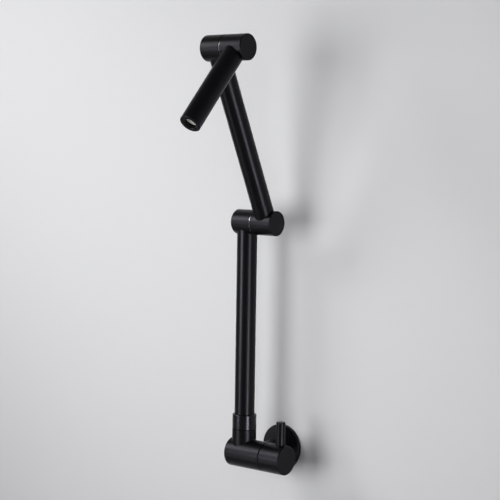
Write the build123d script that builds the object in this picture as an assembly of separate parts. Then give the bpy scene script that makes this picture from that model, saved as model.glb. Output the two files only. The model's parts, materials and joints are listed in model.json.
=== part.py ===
from build123d import *
import os
from math import cos, radians, sin

# Folding wall tap: a quarter-turn valve on the wall, a swivelling lower arm, an upper arm and a spout,
# joined by two water-carrying pivots. Millimetres.
# The origin is on the wall at the centre of the inlet. +X runs right along the wall, -Y points out into
# the room and +Z is up.

# Layout of the arms
standoff = 56.0             # wall to the valve's axis
neck_offset = 11.0          # inlet to the swivel's axis, to the left
lower_height = 255.0        # valve axis to the middle pivot
upper_length = 201.0        # middle pivot to the top pivot
upper_lean = 25.2           # degrees from upright, leaning out
spout_length = 106.0        # top pivot to the mouth
spout_turn = 138.0          # degrees from upright, out and over

# Fits and edges
thread_clearance = 0.05     # radial, between screwed pieces
running_clearance = 0.05    # radial, between a turning piece and its bore
slip_clearance = 0.15       # radial, between pieces that slip together
thrust_clearance = 0.02     # between faces that slide on each other
seal_clearance = 0.04       # between a seal and its groove or bore
snug_clearance = 0.05       # radial, between pieces that fit closely and stay put
braze_gap = 0.05            # between a tube's shaped end and its housing
groove_slack = 0.3          # on each side of a seal in its groove
edge_round = 0.9            # visible end edges
seam_chamfer = 0.6          # edges at the turning seams
small_chamfer = 0.4         # hidden lead-in edges

# Tubes
tube_radius = 11.0
tube_wall = 1.5

# Pivots
joint_radius = 13.6
joint_wall = 3.6
inlet_half = 25.4           # half that carries the incoming tube
outlet_half = 28.4          # half that carries the outgoing tube
seam_gap = 0.3
port_radius = 6.5           # hole from a tube into its half
bulkhead_depth = 6.6        # seam to the inner face of the wall round the bolt
washer_depth = 1.0          # sunk into each half
washer_radius = 10.2
cap_thickness = 3.0
cap_plug_length = 4.0
cap_plug_bore = 7.0
cap_seal_section = 1.5
bolt_radius = 7.0
bolt_bore = 4.5
bolt_head_length = 3.0
bolt_seal_section = 1.5
bolt_tail = 0.6             # thread that shows past the nut
friction_thickness = 1.0
spring_thickness = 0.6
spring_cone = 0.7
ring_room = 0.8             # chamber's wall to the bolt's head, washers, spring and nut
nut_length = 4.5
nut_slot_width = 3.0        # for a pin spanner
nut_slot_depth = 1.5

# Wall flange and inlet
flange_radius = 25.3
flange_thickness = 4.6
flange_rim = 3.2            # width of the rim that meets the wall
flange_recess = 2.6
hub_wall = 1.8
hub_gap = 0.5               # between the flange's hub and the valve's boss
flange_seal_section = 1.0
flange_seal_inset = 6.0     # from the hub's end
inlet_radius = 10.4775      # G1/2 pipe thread
inlet_stub_radius = 8.2     # slimmer stretch in front of the wall
inlet_bore = 5.5
inlet_mouth = 6.5           # radius of the wider first stretch of the bore
inlet_mouth_depth = 14.0
inlet_beyond_wall = 15.0
inlet_grip = 10.0           # length screwed into the boss
inlet_seal_section = 1.4

# Valve body
body_radius = 16.0
body_left = 26.6            # inlet to the closed end
body_right = 21.0           # inlet to the seam
boss_face = 28.0            # wall to the face of the boss
valve_port = 4.0            # radius of the way in from the inlet
port_margin = 0.6           # edge of the way in to the seat
seat_radius = 6.0           # way out to the neck
riser_radius = 5.5
neck_top = 26.9             # valve axis to the shoulder
neck_thread_wall = 3.45
neck_thread_length = 7.0
cast_round = 1.2            # inside corners of the casting
collar_recess = 5.8         # sunk into the right end for the cartridge's collar

# Cartridge
cartridge_radius = 10.5
skirt_wall = 1.05
seat_seal_thickness = 1.6
seat_seal_cover = 0.6       # part of the seat seal inside the skirt
disc_radius = 7.5
disc_thickness = 3.0
disc_hole_radius = 1.9
disc_hole_circle = 3.7
disc_turn_gap = 0.3         # moving disc to the skirt
foot_width = 4.4
foot_thickness = 3.4
foot_room = 0.2             # foot to the web above it
lug_width = 2.4
lug_length = 2.0
lug_depth = 1.2
web_thickness = 1.6         # skirt's closed end before the thread starts
collar_margin = 0.6         # past the seal under it
collar_thickness = 1.4
collar_hex_length = 2.6
collar_seal_section = 1.4
gland_radius = 7.0
gland_length = 5.0
stem_radius = 4.5
stem_seal_section = 1.3
stem_seal_spacing = 3.4
clip_thickness = 1.0
clip_radius = 6.2
clip_groove = 0.9
clip_room = 0.1
drive_side = 6.2            # square end of the stem
drive_length = 10.0
screw_radius = 2.0
screw_grip = 7.0
screw_head_radius = 3.5
screw_head_length = 2.4
screw_socket = 1.7          # radius at the socket's corners

# Handle
knob_gap = 0.4
knob_length = 27.0
knob_wall = 3.0
hub_room = 1.5              # clip to the knob's solid part
screw_web = 2.0
handle_plug_margin = 1.0    # plug to the foot of the lever's stud
handle_plug_length = 3.4
handle_cap_thickness = 1.8
lever_radius = 5.0
lever_rise = 25.0           # above the knob's surface
lever_inset = 8.4           # lever's axis to the knob's right end
lever_seat = 5.0            # depth of its socket
lever_stud_radius = 2.5
lever_stud_length = 3.4

# Swivel
spigot_radius = 8.0
spigot_bore = 5.5
spigot_length = 19.0        # below its flange
spigot_room = 0.3           # its end to the bottom of the bore
spigot_flange_step = 1.0    # wider than the tube
spigot_flange_thickness = 2.8
spigot_stub = 9.0           # length inside the tube
spigot_seal_section = 1.8
spigot_seal_inset = 4.2
spigot_seal_spacing = 7.0
bush_length = 4.6
bush_wall = 1.15
collar_wall = 0.95          # swivel collar, round the bush
collar_lip = 2.2
collar_lip_clearance = 0.3  # lip to the tube

# Spout mouth
nozzle_length = 12.0
nozzle_bore = 6.7
nozzle_lip = 5.0            # open depth in front of the flow straightener
nozzle_ledge = 1.2          # step that holds the straightener
straightener_thickness = 4.0
straightener_hole = 0.9     # radius
straightener_pitch = 2.5
nozzle_seal_thickness = 1.6
nozzle_seal_wall = 2.0

# Worked-out radii
tube_bore = tube_radius - tube_wall
chamber_radius = joint_radius - joint_wall
ring_radius = chamber_radius - ring_room
washer_bore = bolt_radius + slip_clearance
sleeve_bore = inlet_stub_radius + slip_clearance
hub_radius = sleeve_bore + hub_wall
skirt_bore = disc_radius + snug_clearance
skirt_radius = skirt_bore + skirt_wall
turning_disc_radius = disc_radius - disc_turn_gap
collar_seal_mean = cartridge_radius + 2 * seal_clearance + collar_seal_section / 2
collar_seal_edge = collar_seal_mean + collar_seal_section / 2 + seal_clearance
collar_radius = collar_seal_edge + collar_margin
neck_thread_radius = spigot_radius + running_clearance + neck_thread_wall
spigot_flange_radius = tube_radius + spigot_flange_step
bush_radius = tube_radius + running_clearance + bush_wall
swivel_room = max(bush_radius, spigot_flange_radius) + snug_clearance
neck_radius = swivel_room + collar_wall
lever_seat_floor = body_radius - lever_seat
handle_plug_radius = lever_seat_floor - lever_stud_length - handle_plug_margin
nozzle_step = nozzle_bore + nozzle_ledge

# Worked-out places along the valve's axis, from the inlet
seat = -valve_port - port_margin
fixed_disc_start = seat + seat_seal_thickness
moving_disc_start = fixed_disc_start + disc_thickness + thrust_clearance
foot_start = moving_disc_start + disc_thickness
web_start = foot_start + foot_thickness + foot_room
collar_start = body_right - collar_recess
collar_seal_middle = collar_start - collar_seal_section / 2 - seal_clearance
stem_seal_first = web_start + web_thickness + stem_seal_section
stem_seal_middles = [stem_seal_first, stem_seal_first + stem_seal_spacing]
gland_end = collar_start + collar_thickness + collar_hex_length + gland_length
clip_start = gland_end + clip_room
knob_start = body_right + knob_gap
knob_end = knob_start + knob_length
knob_core = clip_start + clip_thickness + hub_room
drive_end = knob_core + drive_length
screw_seat = drive_end + screw_web
handle_cap_start = knob_end - handle_cap_thickness
lever_x = knob_end - lever_inset
inlet_seal_middle = boss_face + inlet_seal_section  # from the wall

# Worked-out heights on the swivel, from the valve's axis
neck_thread_top = neck_top + neck_thread_length
spigot_flange_start = neck_thread_top + thrust_clearance
tube_start = spigot_flange_start + spigot_flange_thickness
spigot_end = spigot_flange_start - spigot_length
spigot_seal_first = spigot_end + spigot_seal_inset
spigot_seal_middles = [spigot_seal_first, spigot_seal_first + spigot_seal_spacing]
bush_start = tube_start + thrust_clearance
collar_lip_start = bush_start + bush_length
collar_top = collar_lip_start + collar_lip

# Worked-out places along the spout, from the top pivot
nozzle_start = spout_length - nozzle_length
straightener_face = spout_length - nozzle_lip
straightener_back = straightener_face - straightener_thickness

# Worked-out places on a pivot, from its seam
friction_start = bulkhead_depth + thrust_clearance
spring_start = friction_start + friction_thickness
nut_start = spring_start + spring_cone + spring_thickness
bolt_end = nut_start + nut_length + bolt_tail
bolt_seal_middle = (washer_depth + bulkhead_depth) / 2

# Frames: local Z runs along each axis. On the valve and the pivots local X is up and local Y points out.
UP = (0, 0, 1)
RIGHT = (1, 0, 0)
OUT = (0, -1, 0)
wall_frame = Plane(origin=(0, 0, 0), x_dir=RIGHT, z_dir=OUT)
valve_frame = Plane(origin=(0, -standoff, 0), x_dir=UP, z_dir=RIGHT)
swivel_frame = Plane(origin=(-neck_offset, -standoff, 0), x_dir=RIGHT, z_dir=UP)
middle_seam = -neck_offset + inlet_half / 2
upper_x = middle_seam + outlet_half / 2
top_seam = upper_x + inlet_half / 2
top_y = -standoff - upper_length * sin(radians(upper_lean))
top_z = lower_height + upper_length * cos(radians(upper_lean))
middle_frame = Plane(origin=(middle_seam, -standoff, lower_height), x_dir=UP, z_dir=RIGHT)
top_frame = Plane(origin=(top_seam, top_y, top_z), x_dir=UP, z_dir=RIGHT)


def turned(corners, rounds=()):
    """Solid of revolution about local Z from (radius, height) corners, some of them rounded."""
    profile = make_face(Polyline(*[(r, 0, z) for r, z in corners], close=True))
    for (r, z), radius in rounds:
        corner = profile.vertices().sort_by_distance((r, 0, z))[0]
        profile = fillet(corner, radius)
    return revolve(profile, Axis.Z)


def ring(inner, outer, start, end):
    """Plain ring, or a disc where the inner radius is zero."""
    return turned([(inner, start), (outer, start), (outer, end), (inner, end)])


def seal(mean, section, middle):
    """Rubber ring of round section."""
    return Pos(0, 0, middle) * Torus(mean, section / 2)


def seal_in(bore, section, middle):
    """Rubber ring that reaches out to a bore."""
    return seal(bore - seal_clearance - section / 2, section, middle)


def groove_in(bore, section, middle):
    """Ring to cut from the piece inside a bore, as the groove of such a seal."""
    floor = bore - section - 2 * seal_clearance
    half = section / 2 + groove_slack
    return ring(floor, bore, middle - half, middle + half)


def spoke(frame, angle, along):
    """Frame whose Z leaves a pivot's axis sideways, at an angle from upright towards the room."""
    direction = frame.x_dir * cos(radians(angle)) + frame.y_dir * sin(radians(angle))
    return Plane(origin=frame.origin + frame.z_dir * along, x_dir=frame.z_dir, z_dir=direction)


def hex_prism(radius, start, length):
    """Hexagonal prism on local Z, with its corners at a radius."""
    return Pos(0, 0, start) * extrude(RegularPolygon(radius, 6), length)


def wall_flange():
    """Round cover on the wall, with a sleeve over the inlet pipe."""
    hub_end = boss_face - hub_gap
    recess = flange_radius - flange_rim
    body = turned(
        [
            (sleeve_bore, flange_recess),
            (recess, flange_recess),
            (recess, 0),
            (flange_radius, 0),
            (flange_radius, flange_thickness),
            (hub_radius, flange_thickness),
            (hub_radius, hub_end),
            (sleeve_bore, hub_end),
        ],
        [((flange_radius, flange_thickness), edge_round), ((hub_radius, flange_thickness), edge_round)],
    )
    floor = inlet_stub_radius + flange_seal_section + 2 * seal_clearance
    middle = hub_end - flange_seal_inset
    half = flange_seal_section / 2 + groove_slack
    return body - ring(sleeve_bore, floor, middle - half, middle + half)


def flange_seal():
    """Rubber ring that grips the pipe inside the flange's sleeve."""
    mean = inlet_stub_radius + seal_clearance + flange_seal_section / 2
    return seal(mean, flange_seal_section, boss_face - hub_gap - flange_seal_inset)


def inlet_pipe():
    """Pipe from the wall fitting into the valve's boss, slimmer in front of the wall."""
    inner = boss_face + inlet_grip
    mouth_end = inlet_mouth_depth - inlet_beyond_wall
    pipe = turned(
        [
            (inlet_mouth, -inlet_beyond_wall),
            (inlet_radius - small_chamfer, -inlet_beyond_wall),
            (inlet_radius, small_chamfer - inlet_beyond_wall),
            (inlet_radius, 0),
            (inlet_stub_radius, 0),
            (inlet_stub_radius, inner),
            (inlet_bore, inner),
            (inlet_bore, mouth_end),
            (inlet_mouth, mouth_end),
        ]
    )
    return pipe - groove_in(inlet_stub_radius + thread_clearance, inlet_seal_section, inlet_seal_middle)


def inlet_seal():
    """Rubber ring between the pipe and the boss."""
    return seal_in(inlet_stub_radius + thread_clearance, inlet_seal_section, inlet_seal_middle)


def valve_body():
    """Cast body: a horizontal barrel, the boss behind it and the neck of the swivel."""
    barrel = turned(
        [
            (0, -body_left),
            (body_radius, -body_left),
            (body_radius, body_right - seam_chamfer),
            (body_radius - seam_chamfer, body_right),
            (0, body_right),
        ],
        [((body_radius, -body_left), edge_round)],
    )
    neck = ring(0, neck_radius, 0, neck_top) + ring(0, neck_thread_radius, neck_top, neck_thread_top)
    boss = ring(0, hub_radius, boss_face, standoff)
    body = valve_frame * barrel + swivel_frame * neck + wall_frame * boss
    corners = body.edges().filter_by(lambda edge: edge.geom_type not in (GeomType.CIRCLE, GeomType.LINE))
    body = fillet(corners, cast_round)
    seal_depth = collar_seal_section + 2 * seal_clearance
    cartridge_bores = [
        ring(0, cartridge_radius, seat, body_right),
        ring(0, collar_radius + slip_clearance, collar_start, body_right),
        ring(0, collar_seal_edge, collar_start - seal_depth, collar_start),
        ring(0, seat_radius, -neck_offset - riser_radius, seat),
    ]
    spigot_bores = [
        ring(0, riser_radius, 0, spigot_end),
        ring(0, spigot_radius + running_clearance, spigot_end - spigot_room, neck_thread_top),
    ]
    inlet_bores = [
        ring(0, valve_port, boss_face, standoff - seat_radius),
        ring(0, inlet_stub_radius + thread_clearance, boss_face, boss_face + inlet_grip + slip_clearance),
    ]
    for frame, bores in [
        (valve_frame, cartridge_bores),
        (swivel_frame, spigot_bores),
        (wall_frame, inlet_bores),
    ]:
        for bore in bores:
            body -= frame * bore
    return body


def cartridge_seal():
    """Rubber ring under the cartridge's collar."""
    return seal(collar_seal_mean, collar_seal_section, collar_seal_middle)


def cartridge_housing():
    """Brass housing screwed into the body: skirt round the discs, thread, collar, hexagon and gland."""
    skirt_start = fixed_disc_start - seat_seal_cover
    thread_start = web_start + web_thickness
    thread_radius = cartridge_radius - thread_clearance
    hex_start = collar_start + collar_thickness
    housing = turned(
        [
            (skirt_bore, skirt_start),
            (skirt_radius, skirt_start),
            (skirt_radius, thread_start),
            (thread_radius, thread_start),
            (thread_radius, collar_start),
            (collar_radius, collar_start),
            (collar_radius, hex_start),
            (gland_radius, hex_start),
            (gland_radius, gland_end),
            (stem_radius + running_clearance, gland_end),
            (stem_radius + running_clearance, web_start),
            (skirt_bore, web_start),
        ]
    )
    hexagon = hex_prism(collar_radius, hex_start, collar_hex_length)
    hexagon -= ring(0, gland_radius, hex_start, hex_start + collar_hex_length)
    window_length = web_start - foot_start
    window = Pos(0, 0, foot_start + window_length / 2) * Box(3 * skirt_radius, skirt_radius, window_length)
    return housing + hexagon - window


def seat_seal():
    """Rubber ring that closes the cartridge against the seat."""
    return ring(seat_radius, disc_radius - slip_clearance, seat, fixed_disc_start)


def disc_holes(start):
    """Pair of water holes through a ceramic disc."""
    holes = []
    for side in (-1, 1):
        hole = ring(0, disc_hole_radius, start, start + disc_thickness)
        holes.append(Pos(side * disc_hole_circle, 0, 0) * hole)
    return holes


def fixed_disc():
    """Ceramic disc that stays still."""
    disc = ring(0, disc_radius, fixed_disc_start, fixed_disc_start + disc_thickness)
    for hole in disc_holes(fixed_disc_start):
        disc -= hole
    return disc


def lugs(clearance):
    """Two lugs on the stem's foot, or the notches for them."""
    radius = turning_disc_radius - lug_length / 2 - 2 * slip_clearance
    depth = lug_depth + clearance
    shapes = []
    for side in (-1, 1):
        block = Box(lug_width + 2 * clearance, lug_length + 2 * clearance, depth)
        shapes.append(Pos(0, side * radius, foot_start - depth / 2) * block)
    return shapes


def moving_disc():
    """Ceramic disc that the stem turns."""
    disc = ring(0, turning_disc_radius, moving_disc_start, foot_start)
    for cut in disc_holes(moving_disc_start) + lugs(snug_clearance):
        disc -= cut
    return disc


def cartridge_stem():
    """Stem that turns the disc, with a bar foot, two seal grooves, a clip groove and a square end."""
    shaft_start = foot_start + foot_thickness
    stem = ring(0, stem_radius, shaft_start, knob_core - hub_room / 2)
    bar = Pos(0, 0, shaft_start - foot_thickness / 2) * Box(foot_width, 2 * disc_radius, foot_thickness)
    stem += bar & ring(0, turning_disc_radius, foot_start, shaft_start)
    square_length = drive_length + hub_room
    stem += Pos(0, 0, drive_end - square_length / 2) * Box(drive_side, drive_side, square_length)
    for lug in lugs(0):
        stem += lug
    for middle in stem_seal_middles:
        stem -= groove_in(stem_radius + running_clearance, stem_seal_section, middle)
    stem -= ring(stem_radius - clip_groove, stem_radius, clip_start, clip_start + clip_thickness)
    return stem - ring(0, screw_radius, drive_end - screw_grip, drive_end)


def stem_seals():
    """Two rubber rings on the stem."""
    bore = stem_radius + running_clearance
    return [seal_in(bore, stem_seal_section, middle) for middle in stem_seal_middles]


def stem_clip():
    """Open spring clip that keeps the stem in its housing."""
    clip = ring(stem_radius - clip_groove, clip_radius, clip_start, clip_start + clip_thickness)
    middle = clip_start + clip_thickness / 2
    mouth = Pos(clip_radius, 0, middle) * Box(2 * clip_radius, stem_radius, clip_thickness)
    return clip - mouth


def lever_axis():
    """Frame of the lever: up from the knob's axis at rest."""
    return spoke(valve_frame, 0, lever_x)


def handle_knob():
    """Turning knob: a cup over the gland, a solid core on the stem and a socket for the lever."""
    head_room = screw_head_radius + slip_clearance
    knob = turned(
        [
            (0, knob_core),
            (body_radius - knob_wall, knob_core),
            (body_radius - knob_wall, knob_start),
            (body_radius - seam_chamfer, knob_start),
            (body_radius, knob_start + seam_chamfer),
            (body_radius, handle_cap_start),
            (0, handle_cap_start),
        ]
    )
    side = drive_side + 2 * snug_clearance
    knob -= Pos(0, 0, knob_core + drive_length / 2) * Box(side, side, drive_length)
    knob -= ring(0, screw_radius + slip_clearance, drive_end, screw_seat)
    knob -= ring(0, head_room, screw_seat, handle_cap_start)
    plug_room = handle_plug_radius + snug_clearance
    knob -= ring(0, plug_room, handle_cap_start - handle_plug_length, handle_cap_start)
    knob = valve_frame * knob
    knob -= lever_axis() * ring(0, lever_radius + snug_clearance, lever_seat_floor, body_radius)
    stud = lever_stud_radius + thread_clearance
    return knob - lever_axis() * ring(0, stud, lever_seat_floor - lever_stud_length, lever_seat_floor)


def handle_screw():
    """Socket-head screw that holds the knob on the stem."""
    shank = ring(0, screw_radius - thread_clearance, drive_end - screw_grip, screw_seat)
    head = ring(0, screw_head_radius, screw_seat, screw_seat + screw_head_length)
    socket = hex_prism(screw_socket, screw_seat + screw_head_length / 2, screw_head_length)
    return shank + head - socket


def plug_cap(radius, thickness, plug, plug_bore, plug_length, start, side):
    """Cap with a rounded edge and a hollow plug, closing an open end that faces along side."""
    end = start + thickness
    inner = start - plug_length
    return turned(
        [
            (0, side * start),
            (plug_bore, side * start),
            (plug_bore, side * inner),
            (plug - small_chamfer, side * inner),
            (plug, side * (inner + small_chamfer)),
            (plug, side * start),
            (radius, side * start),
            (radius, side * end),
            (0, side * end),
        ],
        [((radius, side * end), edge_round)],
    )


def handle_cap():
    """Cap on the knob's right end."""
    bore = screw_head_radius + slip_clearance
    return plug_cap(
        body_radius, handle_cap_thickness, handle_plug_radius, bore, handle_plug_length, handle_cap_start, 1
    )


def handle_lever():
    """Plain round lever screwed into the knob."""
    tip = body_radius + lever_rise
    pin = turned(
        [(0, lever_seat_floor), (lever_radius, lever_seat_floor), (lever_radius, tip), (0, tip)],
        [((lever_radius, tip), small_chamfer)],
    )
    return pin + ring(0, lever_stud_radius, lever_seat_floor - lever_stud_length, lever_seat_floor)


def swivel_collar():
    """Union nut, flush with the neck below it, that keeps the lower arm in place."""
    lip = tube_radius + collar_lip_clearance
    start = neck_top + seam_gap
    thread = neck_thread_radius + thread_clearance
    return turned(
        [
            (thread, start),
            (neck_radius - small_chamfer, start),
            (neck_radius, start + small_chamfer),
            (neck_radius, collar_top),
            (lip, collar_top),
            (lip, collar_lip_start),
            (swivel_room, collar_lip_start),
            (swivel_room, neck_thread_top),
            (thread, neck_thread_top),
        ],
        [((neck_radius, collar_top), edge_round)],
    )


def swivel_bush():
    """Plastic bearing ring between the collar and the turning tube."""
    return ring(tube_radius + running_clearance, bush_radius, bush_start, collar_lip_start)


def swivel_spigot():
    """Turned end of the lower arm: a journal in the neck, a flange under the bush and a stub in the tube."""
    stub = tube_bore - braze_gap
    spigot = turned(
        [
            (spigot_bore, spigot_end),
            (spigot_radius - small_chamfer, spigot_end),
            (spigot_radius, spigot_end + small_chamfer),
            (spigot_radius, spigot_flange_start),
            (spigot_flange_radius, spigot_flange_start),
            (spigot_flange_radius, tube_start),
            (stub, tube_start),
            (stub, tube_start + spigot_stub),
            (spigot_bore, tube_start + spigot_stub),
        ]
    )
    for middle in spigot_seal_middles:
        spigot -= groove_in(spigot_radius + running_clearance, spigot_seal_section, middle)
    return spigot


def spigot_seals():
    """Two rubber rings on the spigot."""
    bore = spigot_radius + running_clearance
    return [seal_in(bore, spigot_seal_section, middle) for middle in spigot_seal_middles]


def tube(frame, start, end):
    """Straight tube along a frame's Z."""
    return frame * ring(tube_bore, tube_radius, start, end)


def coped(shape, frame):
    """Shape with its end cut to lie on a pivot's round side."""
    return shape - frame * Cylinder(joint_radius + braze_gap, 2 * (inlet_half + outlet_half))


def lower_tube():
    """Upright tube from the swivel to the middle pivot."""
    return coped(tube(swivel_frame, tube_start, lower_height), middle_frame)


def upper_tube():
    """Leaning tube from the middle pivot to the top pivot."""
    upper = spoke(middle_frame, upper_lean, outlet_half / 2)
    return coped(coped(tube(upper, 0, upper_length), middle_frame), top_frame)


def spout_frame():
    """Frame of the spout: out from the top pivot along the tube."""
    return spoke(top_frame, spout_turn, outlet_half / 2)


def spout_tube():
    """Spout from the top pivot to the mouth."""
    return coped(tube(spout_frame(), 0, spout_length), top_frame)


def spout_nozzle():
    """Ring in the spout's end, flush with it, with a step for the flow straightener."""
    outside = tube_bore - thread_clearance
    return turned(
        [
            (nozzle_bore, straightener_face),
            (nozzle_bore, spout_length - small_chamfer),
            (nozzle_bore + small_chamfer, spout_length),
            (outside, spout_length),
            (outside, nozzle_start),
            (nozzle_step, nozzle_start),
            (nozzle_step, straightener_face),
        ]
    )


def flow_straightener():
    """Disc with a grid of small holes that smooths the water."""
    disc = ring(0, nozzle_step - slip_clearance, straightener_back, straightener_face)
    drill = ring(0, straightener_hole, straightener_back, straightener_face)
    reach = nozzle_bore - straightener_hole
    steps = int(2 * reach / straightener_pitch) + 1
    holes = []
    for row in range(-steps, steps + 1):
        for column in range(-steps, steps + 1):
            x = (column + row / 2) * straightener_pitch
            y = row * straightener_pitch * sin(radians(60))
            if x * x + y * y < reach * reach:
                holes.append(Pos(x, y, 0) * drill)
    return disc - holes


def nozzle_seal():
    """Rubber washer behind the flow straightener."""
    radius = nozzle_step - slip_clearance
    start = straightener_back - nozzle_seal_thickness
    return ring(radius - nozzle_seal_wall, radius, start, straightener_back)


def pivot_half(side, length, bore, angle, frame):
    """Half of a pivot: a barrel with a wall round the bolt, a chamber and a port for its tube."""
    seam = seam_gap / 2
    end = length - cap_thickness
    half = turned(
        [
            (bore, side * washer_depth),
            (washer_radius + slip_clearance, side * washer_depth),
            (washer_radius + slip_clearance, side * seam),
            (joint_radius - seam_chamfer, side * seam),
            (joint_radius, side * (seam + seam_chamfer)),
            (joint_radius, side * end),
            (chamber_radius, side * end),
            (chamber_radius, side * bulkhead_depth),
            (bore, side * bulkhead_depth),
        ]
    )
    port = spoke(frame, angle, side * length / 2) * ring(0, port_radius, 0, joint_radius)
    return frame * half - port


def pivot_cap(side, length):
    """Screwed cap on the end of a half, with a groove for its seal."""
    start = length - cap_thickness
    plug = chamber_radius - thread_clearance
    cap = plug_cap(joint_radius, cap_thickness, plug, cap_plug_bore, cap_plug_length, start, side)
    return cap - groove_in(chamber_radius, cap_seal_section, side * (start - cap_plug_length / 2))


def pivot_cap_seal(side, length):
    """Rubber ring on a cap's plug."""
    middle = length - cap_thickness - cap_plug_length / 2
    return seal_in(chamber_radius, cap_seal_section, side * middle)


def pivot_bolt():
    """Hollow bolt through both halves; the water runs through it."""
    head_start = -bulkhead_depth - bolt_head_length
    bolt = turned(
        [
            (bolt_bore, head_start),
            (ring_radius - small_chamfer, head_start),
            (ring_radius, head_start + small_chamfer),
            (ring_radius, -bulkhead_depth),
            (bolt_radius, -bulkhead_depth),
            (bolt_radius, bolt_end - small_chamfer),
            (bolt_radius - small_chamfer, bolt_end),
            (bolt_bore, bolt_end),
        ]
    )
    for side in (-1, 1):
        bolt -= groove_in(bolt_radius + running_clearance, bolt_seal_section, side * bolt_seal_middle)
    return bolt


def pivot_seals():
    """Two rubber rings on a pivot's bolt, one in each half."""
    bore = bolt_radius + running_clearance
    return [seal_in(bore, bolt_seal_section, side * bolt_seal_middle) for side in (-1, 1)]


def pivot_washer():
    """Plastic washer sunk into both halves, which the seam turns on."""
    return ring(washer_bore, washer_radius, thrust_clearance - washer_depth, washer_depth - thrust_clearance)


def pivot_friction_washer():
    """Plastic washer that rubs on the turning half."""
    return ring(washer_bore, ring_radius, friction_start, spring_start)


def pivot_spring():
    """Coned steel washer that keeps the pivot stiff."""
    return turned(
        [
            (ring_radius, spring_start),
            (ring_radius, spring_start + spring_thickness),
            (washer_bore, nut_start),
            (washer_bore, nut_start - spring_thickness),
        ]
    )


def pivot_nut():
    """Round nut on the bolt, slotted for a pin spanner."""
    end = nut_start + nut_length
    nut = ring(bolt_radius + thread_clearance, ring_radius, nut_start, end)
    return nut - Pos(0, 0, end) * Box(2 * chamber_radius, nut_slot_width, 2 * nut_slot_depth)


def pivot(name, frame, angle_in, angle_out):
    """All the pieces of one pivot."""
    threaded_bore = bolt_radius + thread_clearance
    turning_bore = bolt_radius + running_clearance
    return {
        name + "_inlet_half": pivot_half(-1, inlet_half, threaded_bore, angle_in, frame),
        name + "_inlet_cap": frame * pivot_cap(-1, inlet_half),
        name + "_inlet_cap_seal": frame * pivot_cap_seal(-1, inlet_half),
        name + "_outlet_half": pivot_half(1, outlet_half, turning_bore, angle_out, frame),
        name + "_outlet_cap": frame * pivot_cap(1, outlet_half),
        name + "_outlet_cap_seal": frame * pivot_cap_seal(1, outlet_half),
        name + "_bolt": frame * pivot_bolt(),
        name + "_bolt_seals": [frame * ring_seal for ring_seal in pivot_seals()],
        name + "_seam_washer": frame * pivot_washer(),
        name + "_friction_washer": frame * pivot_friction_washer(),
        name + "_disc_spring": frame * pivot_spring(),
        name + "_nut": frame * pivot_nut(),
    }


nodes = {
    "wall_flange": wall_frame * wall_flange(),
    "flange_seal": wall_frame * flange_seal(),
    "inlet_pipe": wall_frame * inlet_pipe(),
    "inlet_seal": wall_frame * inlet_seal(),
    "valve_body": valve_body(),
    "cartridge_housing": valve_frame * cartridge_housing(),
    "cartridge_seal": valve_frame * cartridge_seal(),
    "seat_seal": valve_frame * seat_seal(),
    "fixed_disc": valve_frame * fixed_disc(),
    "moving_disc": valve_frame * moving_disc(),
    "cartridge_stem": valve_frame * cartridge_stem(),
    "stem_seals": [valve_frame * ring_seal for ring_seal in stem_seals()],
    "stem_clip": valve_frame * stem_clip(),
    "handle_knob": handle_knob(),
    "handle_screw": valve_frame * handle_screw(),
    "handle_cap": valve_frame * handle_cap(),
    "handle_lever": lever_axis() * handle_lever(),
    "swivel_collar": swivel_frame * swivel_collar(),
    "swivel_bush": swivel_frame * swivel_bush(),
    "swivel_spigot": swivel_frame * swivel_spigot(),
    "spigot_seals": [swivel_frame * ring_seal for ring_seal in spigot_seals()],
    "lower_tube": lower_tube(),
    "upper_tube": upper_tube(),
    "spout_tube": spout_tube(),
    "spout_nozzle": spout_frame() * spout_nozzle(),
    "flow_straightener": spout_frame() * flow_straightener(),
    "nozzle_seal": spout_frame() * nozzle_seal(),
}
nodes.update(pivot("middle", middle_frame, 180.0, upper_lean))
nodes.update(pivot("top", top_frame, 180.0 + upper_lean, spout_turn))

os.makedirs("parts", exist_ok=True)
for node, shape in nodes.items():
    if isinstance(shape, list):
        shape = Compound(children=shape)
    export_step(shape, os.path.join("parts", node + ".step"))
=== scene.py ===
import json
from math import cos, pi, radians, sin, sqrt

import bpy
from bpy.props import FloatProperty, FloatVectorProperty, IntProperty, PointerProperty
from mathutils import Matrix, Vector


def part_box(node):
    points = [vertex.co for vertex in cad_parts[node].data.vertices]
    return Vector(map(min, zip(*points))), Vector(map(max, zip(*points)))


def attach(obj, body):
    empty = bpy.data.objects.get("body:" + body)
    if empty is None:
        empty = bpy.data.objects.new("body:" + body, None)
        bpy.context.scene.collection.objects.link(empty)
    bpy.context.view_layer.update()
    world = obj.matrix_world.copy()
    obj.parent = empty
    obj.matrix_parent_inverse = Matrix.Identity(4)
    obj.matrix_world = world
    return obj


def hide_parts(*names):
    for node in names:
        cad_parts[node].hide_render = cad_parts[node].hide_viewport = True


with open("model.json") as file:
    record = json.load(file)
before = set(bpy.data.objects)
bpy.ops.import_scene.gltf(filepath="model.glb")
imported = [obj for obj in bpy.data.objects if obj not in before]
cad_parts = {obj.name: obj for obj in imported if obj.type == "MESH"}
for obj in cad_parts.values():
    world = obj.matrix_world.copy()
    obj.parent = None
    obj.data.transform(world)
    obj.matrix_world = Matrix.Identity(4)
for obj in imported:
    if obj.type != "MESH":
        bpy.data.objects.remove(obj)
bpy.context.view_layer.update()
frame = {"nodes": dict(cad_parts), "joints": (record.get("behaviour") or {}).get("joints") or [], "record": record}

bl_info = {
    "name": "Folding wall tap",
    "version": (1, 0, 0),
    "blender": (4, 5, 0),
    "location": "3D View > Sidebar > Tap",
    "description": "Finishes the pieces of a satin black folding wall tap and sets its stage",
    "category": "Object",
}

MM = 0.001

# Edges that turn by more than this stay sharp
SHARP_ANGLE = radians(35)

# Attribute with each point's share of the thread's depth
THREAD_SHARE = "thread_share"

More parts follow.
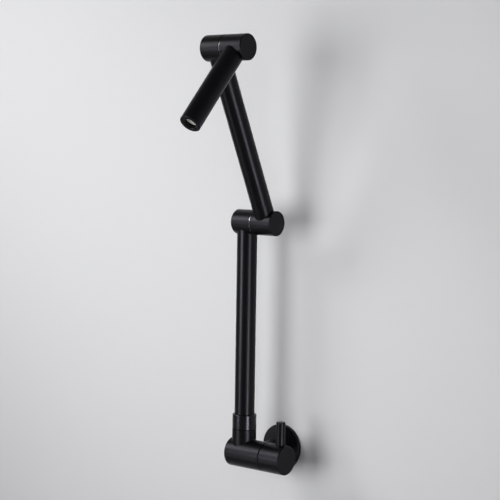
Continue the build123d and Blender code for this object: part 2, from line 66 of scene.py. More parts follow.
# Range that most of a noise texture's values lie in
NOISE_RANGE = {"From Min": 0.3, "From Max": 0.7}

# Where the lamps stand and face, in metres
TAP_MIDDLE = Vector((0, -0.06, 0.22))
WALL_RIGHT = Vector((0.6, -0.06, 0.22))
WALL_UPPER_LEFT = Vector((-0.5, -0.06, 0.4))
LAMP_DISTANCE = 1.4
LAMP_SPREAD = radians(90)

# What the frame says of the pieces
JOINTS = {joint["name"]: Vector(joint["pos_m"]) for joint in frame["joints"]}
MOUNTS = {mount["name"]: mount for mount in frame["record"]["mounts"]}
SLOTS = {piece["node"]: piece["material_slot"] for piece in frame["record"]["subparts"]}
BODIES = {node: body for body, nodes in frame["record"]["behaviour"]["bodies"].items() for node in nodes}


def middle_of(node):
    """Middle of a node's box."""
    low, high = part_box(node)
    return (low + high) / 2


def extent_of(node):
    """Size of a node's box."""
    low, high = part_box(node)
    return high - low


TUBE_RADIUS = extent_of("lower_tube").x / 2
PIVOT_RADIUS = extent_of("middle_outlet_half").z / 2
SPOUT_DIRECTION = Vector(MOUNTS["spout_mouth"]["axis"])


def linear(hex_colour):
    """Linear red, green and blue of an sRGB hex value."""
    channels = [int(hex_colour[i:i + 2], 16) / 255 for i in (1, 3, 5)]
    return tuple(c / 12.92 if c <= 0.04045 else ((c + 0.055) / 1.055) ** 2.4 for c in channels)


def length(name, default_mm, description):
    """Length property with its default in millimetres."""
    return FloatProperty(name=name, description=description, default=default_mm * MM, min=0,
                         unit="LENGTH", precision=5)


def colour(name, default_hex, description):
    """Colour property with its default as an sRGB hex value."""
    return FloatVectorProperty(name=name, description=description, default=linear(default_hex),
                               subtype="COLOR", min=0, max=1)


def share(name, default, description):
    """Property for a plain number from 0 to 1."""
    return FloatProperty(name=name, description=description, default=default, min=0, max=1, subtype="FACTOR")


def power(name, default, description, unit="POWER"):
    """Property for the strength of a light, in watts unless it has no unit."""
    return FloatProperty(name=name, description=description, default=default, min=0, unit=unit)


class TapShape(bpy.types.PropertyGroup):
    """Sizes that the dressed pieces add to the frame's."""
    tube_wall: length("Tube wall", 1.5, "Wall of the three arm tubes")
    foot_chamfer: length("Foot chamfer", 0.5, "Fine groove at a tube's foot, where it meets its pivot")
    mouth_chamfer: length("Mouth chamfer", 0.4, "Chamfer of the spout's outer end edge")
    tube_sides: IntProperty(name="Tube sides", description="Flat sides round a tube", default=128, min=12)
    thread_pitch: length("Thread pitch", 1.814, "Pitch of the inlet's pipe thread")
    thread_depth: length("Thread depth", 1.162, "Depth of the inlet's pipe thread")
    thread_rows: IntProperty(name="Thread rows", description="Rows of points along one turn of the thread",
                             default=12, min=6)
    pipe_bore: length("Pipe bore", 5.5, "Radius of the inlet pipe's bore")
    pipe_chamfer: length("Pipe chamfer", 0.4, "Chamfer at the inlet pipe's free end")
    groove_slack: length("Groove slack", 0.3, "Room on each side of the seal in the inlet pipe's groove")
    slip_ring_depth: length("Slip ring depth", 0.6, "Rim of a slip ring below its pivot's round side")
    slip_ring_width: length("Slip ring width", 2.0, "Width of a slip ring from its bore to its rim")
    slip_ring_thickness: length("Slip ring thickness", 0.16, "Thickness of a slip ring along the pivot")


class TapFinish(bpy.types.PropertyGroup):
    """Colours and grain of the finishes."""
    coat: colour("Coat", "#060607", "Satin black coat")
    coat_sheen: colour("Coat sheen", "#f0ecff", "Tint of the coat's highlights")
    coat_roughness: share("Coat roughness", 0.32, "Roughness of the satin black coat")
    coat_specular: share("Coat specular", 0.13, "Specular level of the satin black coat")
    collar_roughness: share("Collar roughness", 0.24, "Roughness of the collar's glossier coat")
    collar_specular: share("Collar specular", 0.27, "Specular level of the collar's coat")
    coat_peel: length("Coat peel", 0.9, "Distance between the bumps of the coat's orange peel")
    brass: colour("Brass", "#c9a35a", "Turned brass")
    steel: colour("Steel", "#b9bbbd", "Steel of the springs and the slip rings")
    rubber: colour("Rubber", "#161616", "Moulded rubber")
    acetal: colour("Acetal", "#e6e4dc", "Moulded acetal")
    ceramic: colour("Ceramic", "#ece9e0", "Lapped alumina")


class TapStage(bpy.types.PropertyGroup):
    """Backdrop, lights and camera."""
    wall: colour("Wall", "#e4e4e6", "Backdrop behind the tap")
    floor: colour("Floor", "#e4e4e6", "Floor well below the tap")
    floor_drop: length("Floor drop", 600, "Floor below the valve's axis")
    wall_reach: length("Wall reach", 1000, "Half width of the backdrop")
    floor_reach: length("Floor reach", 3500, "Half width of the floor")
    floor_shown: power("Floor shown", 0.48, "Paleness that the floor adds to the eye", "NONE")
    sky_shown: power("Sky shown", 0.7, "World as it is seen", "NONE")
    sky_light: power("Sky light", 0.04, "World as it lights", "NONE")
    gloss_share: share("Gloss share", 0.32, "Share of that paleness that gloss mirrors, as in a dim room")
    front_power: power("Front power", 2.62, "Soft box on the wall from in front")
    fill_power: power("Fill power", 1.03, "Soft box on the wall from the right")
    upper_power: power("Upper power", 2.5, "Soft box at the upper left")
    left_power: power("Left power", 0.58, "Soft box at the left")
    key_power: power("Key power", 2.8, "Strip light on the tap, in front and to the left")
    side_power: power("Side power", 0.8, "Strip light on the tap at the left")
    right_power: power("Right power", 3.6, "Strip light on the tap at the right")
    low_right_power: power("Low right power", 1.05, "Strip light on the tap from below at the right")
    card_power: power("Card power", 0.42, "Low card that throws light up on the tap")
    lens: FloatProperty(name="Lens", description="Focal length in millimetres", default=100.785, min=1)
    azimuth: FloatProperty(name="Azimuth", description="Camera to the right of the wall's normal",
                           default=radians(39.206), subtype="ANGLE")
    elevation: FloatProperty(name="Elevation", description="Camera above the horizon",
                             default=radians(4.272), subtype="ANGLE")
    roll: FloatProperty(name="Roll", description="Camera's turn about its own axis",
                        default=radians(0.904), subtype="ANGLE")
    distance: length("Distance", 1520.65, "Camera to its target")
    target: FloatVectorProperty(name="Target", description="Point that the camera looks at",
                                default=(-0.00326, -0.06034, 0.22497), subtype="TRANSLATION", precision=5)


def add_node(tree, kind, inputs=None, **settings):
    """Add a node. Settings are its own properties; inputs are constants, or the sockets that feed it."""
    node = tree.nodes.new(kind)
    for name, value in settings.items():
        setattr(node, name, value)
    for name, value in (inputs or {}).items():
        if isinstance(value, bpy.types.NodeSocket):
            tree.links.new(value, node.inputs[name])
        else:
            node.inputs[name].default_value = value
    return node


def new_material(name):
    """Empty material: its tree, its shader and the object's own coordinates."""
    material = bpy.data.materials.new(name)
    material.use_nodes = True
    tree = material.node_tree
    tree.nodes.clear()
    shader = add_node(tree, "ShaderNodeBsdfPrincipled")
    add_node(tree, "ShaderNodeOutputMaterial", {"Surface": shader.outputs["BSDF"]})
    place = add_node(tree, "ShaderNodeTexCoord").outputs["Object"]
    return material, tree, shader, place


def scaled(base, factor):
    """Colour for a socket: a base colour made darker or lighter."""
    return (*[factor * c for c in base], 1)


def black_baked_coat(name, roughness, specular):
    """Brass under a sprayed and baked black coat: deep and even, with soft cool highlights that a faint
    orange peel breaks up close to, and slight clouding in its tone and sheen."""
    finish = bpy.context.scene.tap_finish
    peel_height, cloud_size = 0.02 * MM, 14 * MM
    sheen_change, tone_change = 0.025, 0.1
    material, tree, shader, place = new_material(name)
    peel = add_node(tree, "ShaderNodeTexNoise",
                    {"Vector": place, "Scale": 1 / finish.coat_peel, "Detail": 2.0, "Roughness": 0.45})
    cloud = add_node(tree, "ShaderNodeTexNoise", {"Vector": place, "Scale": 1 / cloud_size, "Detail": 3.0})
    sheen = add_node(tree, "ShaderNodeMapRange",
                     {"Value": cloud.outputs["Fac"], **NOISE_RANGE,
                      "To Min": roughness - sheen_change, "To Max": roughness + sheen_change})
    tone = add_node(tree, "ShaderNodeMixRGB",
                    {"Fac": cloud.outputs["Fac"], "Color1": scaled(finish.coat, 1 - tone_change),
                     "Color2": scaled(finish.coat, 1 + tone_change)})
    bump = add_node(tree, "ShaderNodeBump",
                    {"Height": peel.outputs["Fac"], "Strength": 0.25, "Distance": peel_height})
    tree.links.new(tone.outputs["Color"], shader.inputs["Base Color"])
    tree.links.new(sheen.outputs["Result"], shader.inputs["Roughness"])
    tree.links.new(bump.outputs["Normal"], shader.inputs["Normal"])
    shader.inputs["Specular IOR Level"].default_value = specular
    shader.inputs["Specular Tint"].default_value = (*finish.coat_sheen, 1)
    return material


def turned_metal(name, base, roughness, mark_mm):
    """Bare metal, turned and then left or polished: bright, with fine tool marks that soften its highlights
    and slight stains that dull it."""
    mark_height, stain_size = 0.01 * MM, 6 * MM
    cleaner, duller, stained = 0.05, 0.08, 0.86
    material, tree, shader, place = new_material(name)
    marks = add_node(tree, "ShaderNodeTexNoise",
                     {"Vector": place, "Scale": 1 / (mark_mm * MM), "Detail": 2.0})
    stain = add_node(tree, "ShaderNodeTexNoise", {"Vector": place, "Scale": 1 / stain_size, "Detail": 4.0})
    dull = add_node(tree, "ShaderNodeMapRange",
                    {"Value": stain.outputs["Fac"], **NOISE_RANGE,
                     "To Min": roughness - cleaner, "To Max": roughness + duller})
    tone = add_node(tree, "ShaderNodeMixRGB",
                    {"Fac": stain.outputs["Fac"], "Color1": scaled(base, stained),
                     "Color2": scaled(base, 1)})
    bump = add_node(tree, "ShaderNodeBump",
                    {"Height": marks.outputs["Fac"], "Strength": 0.2, "Distance": mark_height})
    tree.links.new(tone.outputs["Color"], shader.inputs["Base Color"])
    tree.links.new(dull.outputs["Result"], shader.inputs["Roughness"])
    tree.links.new(bump.outputs["Normal"], shader.inputs["Normal"])
    shader.inputs["Metallic"].default_value = 1.0
    return material


def moulded(name, base, roughness, grain_mm):
    """Moulded piece, or one pressed and lapped: one colour with a fine even grain and a soft sheen."""
    grain_height = 0.02 * MM
    sheen_change, shaded = 0.05, 0.92
    material, tree, shader, place = new_material(name)
    grain = add_node(tree, "ShaderNodeTexNoise",
                     {"Vector": place, "Scale": 1 / (grain_mm * MM), "Detail": 3.0})
    sheen = add_node(tree, "ShaderNodeMapRange",
                     {"Value": grain.outputs["Fac"], **NOISE_RANGE,
                      "To Min": roughness - sheen_change, "To Max": roughness + sheen_change})
    tone = add_node(tree, "ShaderNodeMixRGB",
                    {"Fac": grain.outputs["Fac"], "Color1": scaled(base, shaded),
                     "Color2": scaled(base, 1)})
    bump = add_node(tree, "ShaderNodeBump",
                    {"Height": grain.outputs["Fac"], "Strength": 0.3, "Distance": grain_height})
    tree.links.new(tone.outputs["Color"], shader.inputs["Base Color"])
    tree.links.new(sheen.outputs["Result"], shader.inputs["Roughness"])
    tree.links.new(bump.outputs["Normal"], shader.inputs["Normal"])
    return material


def finish_of(slot, glossy=False):
    """Material of one of the record's slots, or its glossier form, made when it is first asked for."""
    finish = bpy.context.scene.tap_finish
    finishes = {
        "black_coat": (black_baked_coat, "satin_black_baked_coat",
                       {"roughness": finish.coat_roughness, "specular": finish.coat_specular}),
        "glossy_black_coat": (black_baked_coat, "semi_gloss_black_baked_coat",
                              {"roughness": finish.collar_roughness, "specular": finish.collar_specular}),
        "brass": (turned_metal, "turned_brass", {"base": finish.brass, "roughness": 0.28, "mark_mm": 0.25}),
        "stainless_steel": (turned_metal, "spring_steel",
                            {"base": finish.steel, "roughness": 0.3, "mark_mm": 0.2}),
        "glossy_stainless_steel": (turned_metal, "polished_steel",
                                   {"base": finish.steel, "roughness": 0.12, "mark_mm": 0.2}),
        "seal_rubber": (moulded, "moulded_rubber",
                        {"base": finish.rubber, "roughness": 0.75, "grain_mm": 0.3}),
        "acetal": (moulded, "moulded_acetal", {"base": finish.acetal, "roughness": 0.4, "grain_mm": 0.5}),
        "ceramic": (moulded, "lapped_alumina", {"base": finish.ceramic, "roughness": 0.25, "grain_mm": 0.2}),
    }
    maker, name, values = finishes[f"glossy_{slot}" if glossy else slot]
    return bpy.data.materials.get(name) or maker(name, **values)


def dress(*nodes, glossy=False):
    """Give CAD nodes the finish of their slot."""
    for node in nodes:
        mesh = frame["nodes"][node].data
        mesh.materials.clear()
        mesh.materials.append(finish_of(SLOTS[node], glossy))


def ring(centre, side, up, radius, along, sides):
    """Points round a centre, each moved along a direction by a length that may follow its angle."""
    direction = side.cross(up)
    points = []
    for i in range(sides):
        angle = 2 * pi * i / sides
        spoke = side * cos(angle) + up * sin(angle)
        points.append(centre + spoke * radius + direction * along(angle))
    return points


def flat_rings(centre, side, up, rows, sides):
    """One flat ring of points for each row's radius and place along the direction."""
    return [ring(centre, side, up, radius, lambda angle, at=at: at, sides) for radius, at in rows]


def closed_sleeve(name, rings, slot, glossy=False):
    """Mesh object that joins rings of points in order, and the last to the first."""
    sides = len(rings[0])
    points = [point for row in rings for point in row]
    faces = []
    for row in range(len(rings)):
        after = (row + 1) % len(rings)
        for i in range(sides):
            j = (i + 1) % sides
            faces.append((row * sides + i, row * sides + j, after * sides + j, after * sides + i))
    mesh = bpy.data.meshes.new(name)
    mesh.from_pydata(points, [], faces)
    mesh.shade_smooth()
    mesh.set_sharp_from_angle(angle=SHARP_ANGLE)
    mesh.materials.append(finish_of(slot, glossy))
    piece = bpy.data.objects.new(name, mesh)
    bpy.context.scene.collection.objects.link(piece)
    return piece


def stand_for(piece, node):
    """Let a piece take a CAD node's place and body."""
    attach(piece, BODIES[node])
    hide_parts(node)


def plain_end(at):
    """Tube end cut square."""
    return lambda radius: lambda angle: at


def coped_end(at, facing):
    """Tube end cut to the round side of a pivot, whose axis the tube meets at this length. Facing is 1
    where the tube starts at the pivot, and -1 where it ends there."""
    def for_radius(radius):
        def along(angle):
            return at + facing * sqrt(PIVOT_RADIUS ** 2 - (radius * sin(angle)) ** 2)
        return along
    return for_radius


def tube_piece(name, foot, direction, ends, chamfers):
    """Straight tube whose two ends are square or coped, each with a small chamfer outside."""
    shape = bpy.context.scene.tap_shape
    side = Vector((1, 0, 0))
    up = direction.cross(side)
    bore = TUBE_RADIUS - shape.tube_wall
    near, far = ends
    near_cut, far_cut = chamfers

    def row(radius, end, extra):
        profile = end(radius)
        return ring(foot, side, up, radius, lambda angle: profile(angle) + extra, shape.tube_sides)

    rings = [
        row(TUBE_RADIUS - near_cut, near, 0),
        row(TUBE_RADIUS, near, near_cut),
        row(TUBE_RADIUS, far, -far_cut),
        row(TUBE_RADIUS - far_cut, far, 0),
        row(bore, far, 0),
        row(bore, near, 0),
    ]
    return closed_sleeve(name, rings, SLOTS[name.removesuffix("_dressed")])


class TAP_OT_arm_tubes(bpy.types.Operator):
    """Makes the three arm tubes, cut to their pivots"""
    bl_idname = "tap.arm_tubes"
    bl_label = "Arm tubes"

    def execute(self, context):
        shape = context.scene.tap_shape
        upright = Vector((0, 0, 1))
        middle, top = JOINTS["middle_pivot"].copy(), JOINTS["top_pivot"].copy()
        lower_foot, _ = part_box("lower_tube")
        foot = Vector((middle_of("lower_tube").x, middle.y, lower_foot.z))
        lower = tube_piece("lower_tube_dressed", foot, upright,
                           (plain_end(0), coped_end(middle.z - lower_foot.z, -1)), (0, shape.foot_chamfer))
        middle.x = top.x = middle_of("upper_tube").x
        span = top - middle
        upper = tube_piece("upper_tube_dressed", middle, span.normalized(),
                           (coped_end(0, 1), coped_end(span.length, -1)),
                           (shape.foot_chamfer, shape.foot_chamfer))
        top.x = middle_of("spout_tube").x
        spout_lip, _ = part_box("spout_tube")
        reach = (top.z - spout_lip.z - TUBE_RADIUS * abs(SPOUT_DIRECTION.y)) / abs(SPOUT_DIRECTION.z)
        spout = tube_piece("spout_tube_dressed", top, SPOUT_DIRECTION,
                           (coped_end(0, 1), plain_end(reach)), (shape.foot_chamfer, shape.mouth_chamfer))
        for piece in (lower, upper, spout):
            stand_for(piece, piece.name.removesuffix("_dressed"))
        return {"FINISHED"}


def helical_thread_tree():
    """Geometry Nodes tree that cuts a right-hand thread along Y, by each row's own share of the depth."""
    # Places on a flank, in pitches from the middle of a crest, where its slope starts and ends
    crest, root = 0.06, 0.44
    tree = bpy.data.node_groups.new("helical_thread", "GeometryNodeTree")
    sockets = {"Geometry": "Geometry", "Pitch": "Float", "Depth": "Float", "Material": "Material"}
    for name, kind in sockets.items():
        tree.interface.new_socket(name, in_out="INPUT", socket_type="NodeSocket" + kind)
    tree.interface.new_socket("Geometry", in_out="OUTPUT", socket_type="NodeSocketGeometry")
    given = add_node(tree, "NodeGroupInput").outputs
    position = add_node(tree, "GeometryNodeInputPosition").outputs["Position"]
    place = add_node(tree, "ShaderNodeSeparateXYZ", {"Vector": position}).outputs
    angle = add_node(tree, "ShaderNodeMath", {0: place["X"], 1: place["Z"]}, operation="ARCTAN2")
    turns = add_node(tree, "ShaderNodeMath", {0: angle.outputs[0], 1: 2 * pi}, operation="DIVIDE")
    pitches = add_node(tree, "ShaderNodeMath", {0: place["Y"], 1: given["Pitch"]}, operation="DIVIDE")
    phase = add_node(tree, "ShaderNodeMath", {0: pitches.outputs[0], 1: turns.outputs[0]},
                     operation="SUBTRACT")
    flank = add_node(tree, "ShaderNodeMath", {0: phase.outputs[0], 1: 0.5}, operation="PINGPONG")
    groove = add_node(tree, "ShaderNodeMapRange",
                      {"Value": flank.outputs[0], "From Min": crest, "From Max": root},
                      interpolation_type="SMOOTHSTEP")
    row_share = add_node(tree, "GeometryNodeInputNamedAttribute", {"Name": THREAD_SHARE}, data_type="FLOAT")
    cut = add_node(tree, "ShaderNodeMath", {0: groove.outputs[0], 1: row_share.outputs["Attribute"]},
                   operation="MULTIPLY")
    depth = add_node(tree, "ShaderNodeMath", {0: cut.outputs[0], 1: given["Depth"]}, operation="MULTIPLY")
    spoke = add_node(tree, "ShaderNodeVectorMath", {0: position, 1: (-1, 0, -1)}, operation="MULTIPLY")
    inward = add_node(tree, "ShaderNodeVectorMath", {0: spoke.outputs[0]}, operation="NORMALIZE")
    offset = add_node(tree, "ShaderNodeVectorMath", {0: inward.outputs[0], "Scale": depth.outputs[0]},
                      operation="SCALE")
    moved = add_node(tree, "GeometryNodeSetPosition",
                     {"Geometry": given["Geometry"], "Offset": offset.outputs[0]})
    real = add_node(tree, "GeometryNodeRealizeInstances", {"Geometry": moved.outputs[0]})
    dressed = add_node(tree, "GeometryNodeSetMaterial",
                       {"Geometry": real.outputs[0], "Material": given["Material"]})
    add_node(tree, "NodeGroupOutput", {"Geometry": dressed.outputs[0]})
    return tree


def run_nodes(piece, tree, **values):
    """Run a Geometry Nodes tree on a piece with these inputs, and keep its result as the piece's mesh."""
    modifier = piece.modifiers.new(tree.name, "NODES")
    modifier.node_group = tree
    for socket in tree.interface.items_tree:
        if socket.in_out == "INPUT" and socket.name in values:
            modifier[socket.identifier] = values[socket.name]
    graph = bpy.context.evaluated_depsgraph_get()
    plain = piece.data
    piece.data = bpy.data.meshes.new_from_object(piece.evaluated_get(graph))
    piece.modifiers.remove(modifier)
    bpy.data.meshes.remove(plain)


class TAP_OT_inlet_pipe(bpy.types.Operator):
    """Makes the inlet pipe, with its thread behind the wall"""
    bl_idname = "tap.inlet_pipe"
    bl_label = "Inlet pipe"

    def execute(self, context):
        shape = context.scene.tap_shape
        radius = MOUNTS["wall_inlet"]["dims"]["r_mm"] * MM
        mouth = MOUNTS["inlet_mouth"]["dims"]["r_mm"] * MM
        mouth_depth = MOUNTS["inlet_mouth"]["dims"]["length_mm"] * MM
        low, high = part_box("inlet_pipe")
        free_end, inner_end = -high.y, -low.y
        low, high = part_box("inlet_seal")
        groove_start = -high.y - shape.groove_slack
        groove_end = -low.y + shape.groove_slack
        stub = extent_of("inlet_seal").x / 2
        groove_floor = stub - extent_of("inlet_seal").y

        # Rows of radius, place and share of the thread: along the outside, then back through the bore
        step = shape.thread_pitch / shape.thread_rows
        thread_start = free_end + shape.pipe_chamfer
        count = round(-thread_start / step)
        rows = [(radius - shape.pipe_chamfer, free_end, 1 - shape.pipe_chamfer / shape.thread_depth)]
        for i in range(count + 1):
            turns_left = (count - i) / shape.thread_rows
            rows.append((radius, thread_start * (count - i) / count, min(1, turns_left)))
        rows += [(stub, 0, 0), (stub, groove_start, 0), (groove_floor, groove_start, 0)]
        rows += [(groove_floor, groove_end, 0), (stub, groove_end, 0), (stub, inner_end, 0)]
        rows += [(shape.pipe_bore, inner_end, 0), (shape.pipe_bore, free_end + mouth_depth, 0)]
        rows += [(mouth, free_end + mouth_depth, 0), (mouth, free_end, 0)]

        origin, side, up = Vector(), Vector((1, 0, 0)), Vector((0, 0, 1))
        rings = flat_rings(origin, side, up, [(r, at) for r, at, _ in rows], shape.tube_sides)
        pipe = closed_sleeve("inlet_pipe_dressed", rings, SLOTS["inlet_pipe"])
        row_shares = pipe.data.attributes.new(THREAD_SHARE, "FLOAT", "POINT")
        row_shares.data.foreach_set("value", [cut for _, _, cut in rows for i in range(shape.tube_sides)])
        run_nodes(pipe, helical_thread_tree(), Pitch=shape.thread_pitch, Depth=shape.thread_depth,
                  Material=finish_of(SLOTS["inlet_pipe"]))
        pipe.data.attributes.remove(pipe.data.attributes[THREAD_SHARE])
        pipe.data.set_sharp_from_angle(angle=SHARP_ANGLE)
        stand_for(pipe, "inlet_pipe")
        return {"FINISHED"}


def slip_ring(pivot):
    """Thin steel ring in a pivot's seam, whose rim glints between the coated halves."""
    shape = bpy.context.scene.tap_shape
    side, up = Vector((0, 1, 0)), Vector((0, 0, 1))
    seam = JOINTS[f"{pivot}_pivot"]
    rim = PIVOT_RADIUS - shape.slip_ring_depth
    bore = rim - shape.slip_ring_width
    face = shape.slip_ring_thickness / 2
    rows = [(rim, -face), (rim, face), (bore, face), (bore, -face)]
    rings = flat_rings(seam, side, up, rows, shape.tube_sides)
    piece = closed_sleeve(f"{pivot}_slip_ring", rings, "stainless_steel", glossy=True)
    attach(piece, BODIES[f"{pivot}_seam_washer"])


class TAP_OT_pivots(bpy.types.Operator):
    """Coats the halves and caps of both pivots, and puts the slip rings in their seams"""
    bl_idname = "tap.pivots"
    bl_label = "Pivots"

    def execute(self, context):
        for pivot in ("middle", "top"):
            for half in ("inlet", "outlet"):
                dress(f"{pivot}_{half}_half", f"{pivot}_{half}_cap")
            slip_ring(pivot)
        return {"FINISHED"}


class TAP_OT_valve(bpy.types.Operator):
    """Coats the wall flange, the valve's body and the swivel's collar"""
    bl_idname = "tap.valve"
    bl_label = "Valve body and flange"

    def execute(self, context):
        dress("wall_flange", "valve_body")
        dress("swivel_collar", glossy=True)
        return {"FINISHED"}


class TAP_OT_handle(bpy.types.Operator):
    """Coats the knob, its cap and the lever"""
    bl_idname = "tap.handle"
    bl_label = "Handle"

    def execute(self, context):
        dress("handle_knob", "handle_cap", "handle_lever")
        return {"FINISHED"}


class TAP_OT_spout_mouth(bpy.types.Operator):
    """Finishes the ring and the flow straightener in the spout's end"""
    bl_idname = "tap.spout_mouth"
    bl_label = "Spout mouth"

    def execute(self, context):
        dress("spout_nozzle", "flow_straightener")
        return {"FINISHED"}


class TAP_OT_inner_pieces(bpy.types.Operator):
    """Finishes the bolts, nuts, springs, cartridge, bearings and seals inside"""
    bl_idname = "tap.inner_pieces"
    bl_label = "Inner pieces"

    def execute(self, context):
        other_operators = ("inlet_pipe", "flow_straightener")
        dress(*[node for node in SLOTS if SLOTS[node] != "black_coat" and node not in other_operators])
        return {"FINISHED"}


def direction_of(azimuth, elevation):
    """Direction away from the wall, turned right of its normal and up."""
    flat = cos(elevation)
    return Vector((sin(azimuth) * flat, -cos(azimuth) * flat, sin(elevation)))


def soft_box(name, watts, azimuth, elevation, size, aim=TAP_MIDDLE, lit=(), unlit=()):
    """Gridded area light round the tap's middle, at angles in degrees, with its size in metres. It faces
    its aim. Flags keep it to the pieces of the stage in lit, or off those in unlit."""
    lamp = bpy.data.lights.new(name, "AREA")
    lamp.shape = "RECTANGLE"
    lamp.size, lamp.size_y = size
    lamp.energy = watts
    lamp.spread = LAMP_SPREAD
    light = bpy.data.objects.new(name, lamp)
    place = TAP_MIDDLE + direction_of(radians(azimuth), radians(elevation)) * LAMP_DISTANCE
    facing = (aim - place).to_track_quat("-Z", "Y").to_matrix().to_4x4()
    light.matrix_world = Matrix.Translation(place) @ facing
    light.visible_camera = False
    bpy.context.scene.collection.objects.link(light)
    if lit or unlit:
        flags = bpy.data.collections.new(f"{name}_flags")
        for piece in (*lit, *unlit):
            flags.objects.link(piece)
        for entry in flags.collection_objects:
            entry.light_linking.link_state = "INCLUDE" if lit else "EXCLUDE"
        light.light_linking.receiver_collection = flags


def seen_share(tree, stage):
    """1 for rays from the eye, straight or through glass, less for rays off gloss, and 0 for the rest."""
    path = add_node(tree, "ShaderNodeLightPath").outputs
    eye = add_node(tree, "ShaderNodeMath", {0: path["Is Camera Ray"], 1: path["Is Transmission Ray"]},
                   operation="MAXIMUM")
    gloss = add_node(tree, "ShaderNodeMath", {0: path["Is Glossy Ray"], 1: stage.gloss_share},
                     operation="MULTIPLY")
    seen = add_node(tree, "ShaderNodeMath", {0: eye.outputs[0], 1: gloss.outputs[0]}, operation="MAXIMUM")
    return seen.outputs[0]


def one_sided(name, tone, stage, shown=0.0):
    """Matt paint that only shows from its front, so that the tap can be seen from behind and below too.
    It may look paler than its light makes it."""
    material, tree, shader, _ = new_material(name)
    shader.inputs["Base Color"].default_value = (*tone, 1)
    shader.inputs["Roughness"].default_value = 0.9
    shader.inputs["Specular IOR Level"].default_value = 0.1
    if shown:
        glow = add_node(tree, "ShaderNodeMath", {0: seen_share(tree, stage), 1: shown}, operation="MULTIPLY")
        shader.inputs["Emission Color"].default_value = (1, 1, 1, 1)
        tree.links.new(glow.outputs[0], shader.inputs["Emission Strength"])
    clear = add_node(tree, "ShaderNodeBsdfTransparent")
    behind = add_node(tree, "ShaderNodeNewGeometry").outputs["Backfacing"]
    mixed = add_node(tree, "ShaderNodeMixShader",
                     {0: behind, 1: shader.outputs["BSDF"], 2: clear.outputs["BSDF"]})
    output = next(node for node in tree.nodes if node.type == "OUTPUT_MATERIAL")
    tree.links.new(mixed.outputs["Shader"], output.inputs["Surface"])
    return material


def stage_plane(name, corners, material):
    """Flat piece of the stage."""
    mesh = bpy.data.meshes.new(name)
    mesh.from_pydata(corners, [], [(0, 1, 2, 3)])
    mesh.materials.append(material)
    plane = bpy.data.objects.new(name, mesh)
    bpy.context.scene.collection.objects.link(plane)
    return plane


def pale_world(stage):
    """World that shows pale to the eye, dimmer in gloss, and lights more softly still."""
    world = bpy.data.worlds.new("pale_room")
    bpy.context.scene.world = world
    world.use_nodes = True
    tree = world.node_tree
    tree.nodes.clear()
    level = add_node(tree, "ShaderNodeMapRange",
                     {"Value": seen_share(tree, stage),
                      "To Min": stage.sky_light, "To Max": stage.sky_shown})
    background = add_node(tree, "ShaderNodeBackground",
                          {"Color": (1, 1, 1, 1), "Strength": level.outputs["Result"]})
    add_node(tree, "ShaderNodeOutputWorld", {"Surface": background.outputs["Background"]})


def photograph_camera(stage):
    """Camera at the photograph's viewing angle."""
    data = bpy.data.cameras.new("camera")
    data.lens = stage.lens
    camera = bpy.data.objects.new("camera", data)
    back = direction_of(stage.azimuth, stage.elevation)
    right = Vector((cos(stage.azimuth), sin(stage.azimuth), 0))
    turn = Matrix((right, back.cross(right), back)).transposed().to_4x4()
    turn = turn @ Matrix.Rotation(stage.roll, 4, "Z")
    camera.matrix_world = Matrix.Translation(Vector(stage.target) + back * stage.distance) @ turn
    bpy.context.scene.collection.objects.link(camera)
    bpy.context.scene.camera = camera


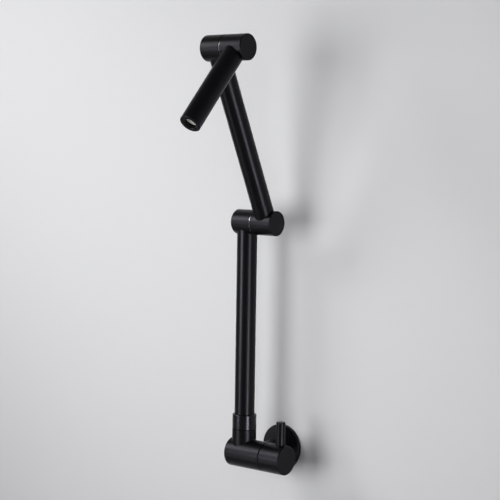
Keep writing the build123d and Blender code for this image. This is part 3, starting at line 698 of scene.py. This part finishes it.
class TAP_OT_stage(bpy.types.Operator):
    """Sets the backdrop, the floor, the lights and the camera"""
    bl_idname = "tap.stage"
    bl_label = "Stage"

    def execute(self, context):
        stage = context.scene.tap_stage
        # The backdrop stands just behind the back of the flange
        gap = 0.2 * MM
        wide, reach, drop = stage.wall_reach, stage.floor_reach, -stage.floor_drop
        wall = one_sided("painted_wall", stage.wall, stage)
        floor = one_sided("painted_floor", stage.floor, stage, stage.floor_shown)
        backdrop = stage_plane("backdrop", [(-wide, gap, drop), (wide, gap, drop), (wide, gap, wide),
                                            (-wide, gap, wide)], wall)
        ground = stage_plane("floor", [(-reach, -reach, drop), (reach, -reach, drop), (reach, reach, drop),
                                       (-reach, reach, drop)], floor)
        room = (backdrop, ground)

        # On the wall and the floor alone
        soft_box("front_soft_box", stage.front_power, azimuth=-7, elevation=0, size=(0.68, 0.75), lit=room)
        soft_box("fill_soft_box", stage.fill_power, azimuth=35, elevation=10, size=(0.5, 0.8),
                 aim=WALL_RIGHT, lit=room)

        # On all, so that they throw the tap's shadows
        soft_box("upper_soft_box", stage.upper_power, azimuth=-52, elevation=28, size=(0.6, 0.6),
                 aim=WALL_UPPER_LEFT)
        soft_box("left_soft_box", stage.left_power, azimuth=-30, elevation=-5, size=(0.4, 0.5))

        # On the tap alone
        soft_box("key_strip", stage.key_power, azimuth=-22, elevation=-3, size=(0.32, 0.6), unlit=room)
        soft_box("side_strip", stage.side_power, azimuth=-46, elevation=18, size=(0.3, 0.5), unlit=room)
        soft_box("right_strip", stage.right_power, azimuth=71, elevation=-12, size=(0.34, 1.0), unlit=room)
        soft_box("low_right_strip", stage.low_right_power, azimuth=76, elevation=-30, size=(0.14, 0.6),
                 unlit=room)
        soft_box("low_card", stage.card_power, azimuth=-35, elevation=-32, size=(0.5, 0.3), unlit=room)
        pale_world(stage)
        photograph_camera(stage)
        context.scene.view_settings.view_transform = "Standard"
        return {"FINISHED"}


class TAP_PT_panel(bpy.types.Panel):
    """Sidebar list of the tap's pieces and settings"""
    bl_idname = "TAP_PT_panel"
    bl_label = "Folding wall tap"
    bl_space_type = "VIEW_3D"
    bl_region_type = "UI"
    bl_category = "Tap"

    def draw(self, context):
        for operator in OPERATORS:
            self.layout.operator(operator.bl_idname)
        for group_name, group in GROUPS.items():
            box = self.layout.box()
            for name in group.__annotations__:
                box.prop(getattr(context.scene, group_name), name)


GROUPS = {"tap_shape": TapShape, "tap_finish": TapFinish, "tap_stage": TapStage}
OPERATORS = (
    TAP_OT_inner_pieces,
    TAP_OT_inlet_pipe,
    TAP_OT_arm_tubes,
    TAP_OT_pivots,
    TAP_OT_valve,
    TAP_OT_handle,
    TAP_OT_spout_mouth,
    TAP_OT_stage,
)
CLASSES = (*GROUPS.values(), *OPERATORS, TAP_PT_panel)


def register():
    """Add the classes, and the settings to the scene."""
    for cls in CLASSES:
        bpy.utils.register_class(cls)
    for name, group in GROUPS.items():
        setattr(bpy.types.Scene, name, PointerProperty(type=group))


def unregister():
    """Take the settings and the classes away again."""
    for name in GROUPS:
        delattr(bpy.types.Scene, name)
    for cls in reversed(CLASSES):
        bpy.utils.unregister_class(cls)


def main():
    """Dress every piece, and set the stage."""
    register()
    bpy.ops.tap.inner_pieces()
    bpy.ops.tap.inlet_pipe()
    bpy.ops.tap.arm_tubes()
    bpy.ops.tap.pivots()
    bpy.ops.tap.valve()
    bpy.ops.tap.handle()
    bpy.ops.tap.spout_mouth()
    bpy.ops.tap.stage()


if __name__ == "__main__":
    main()
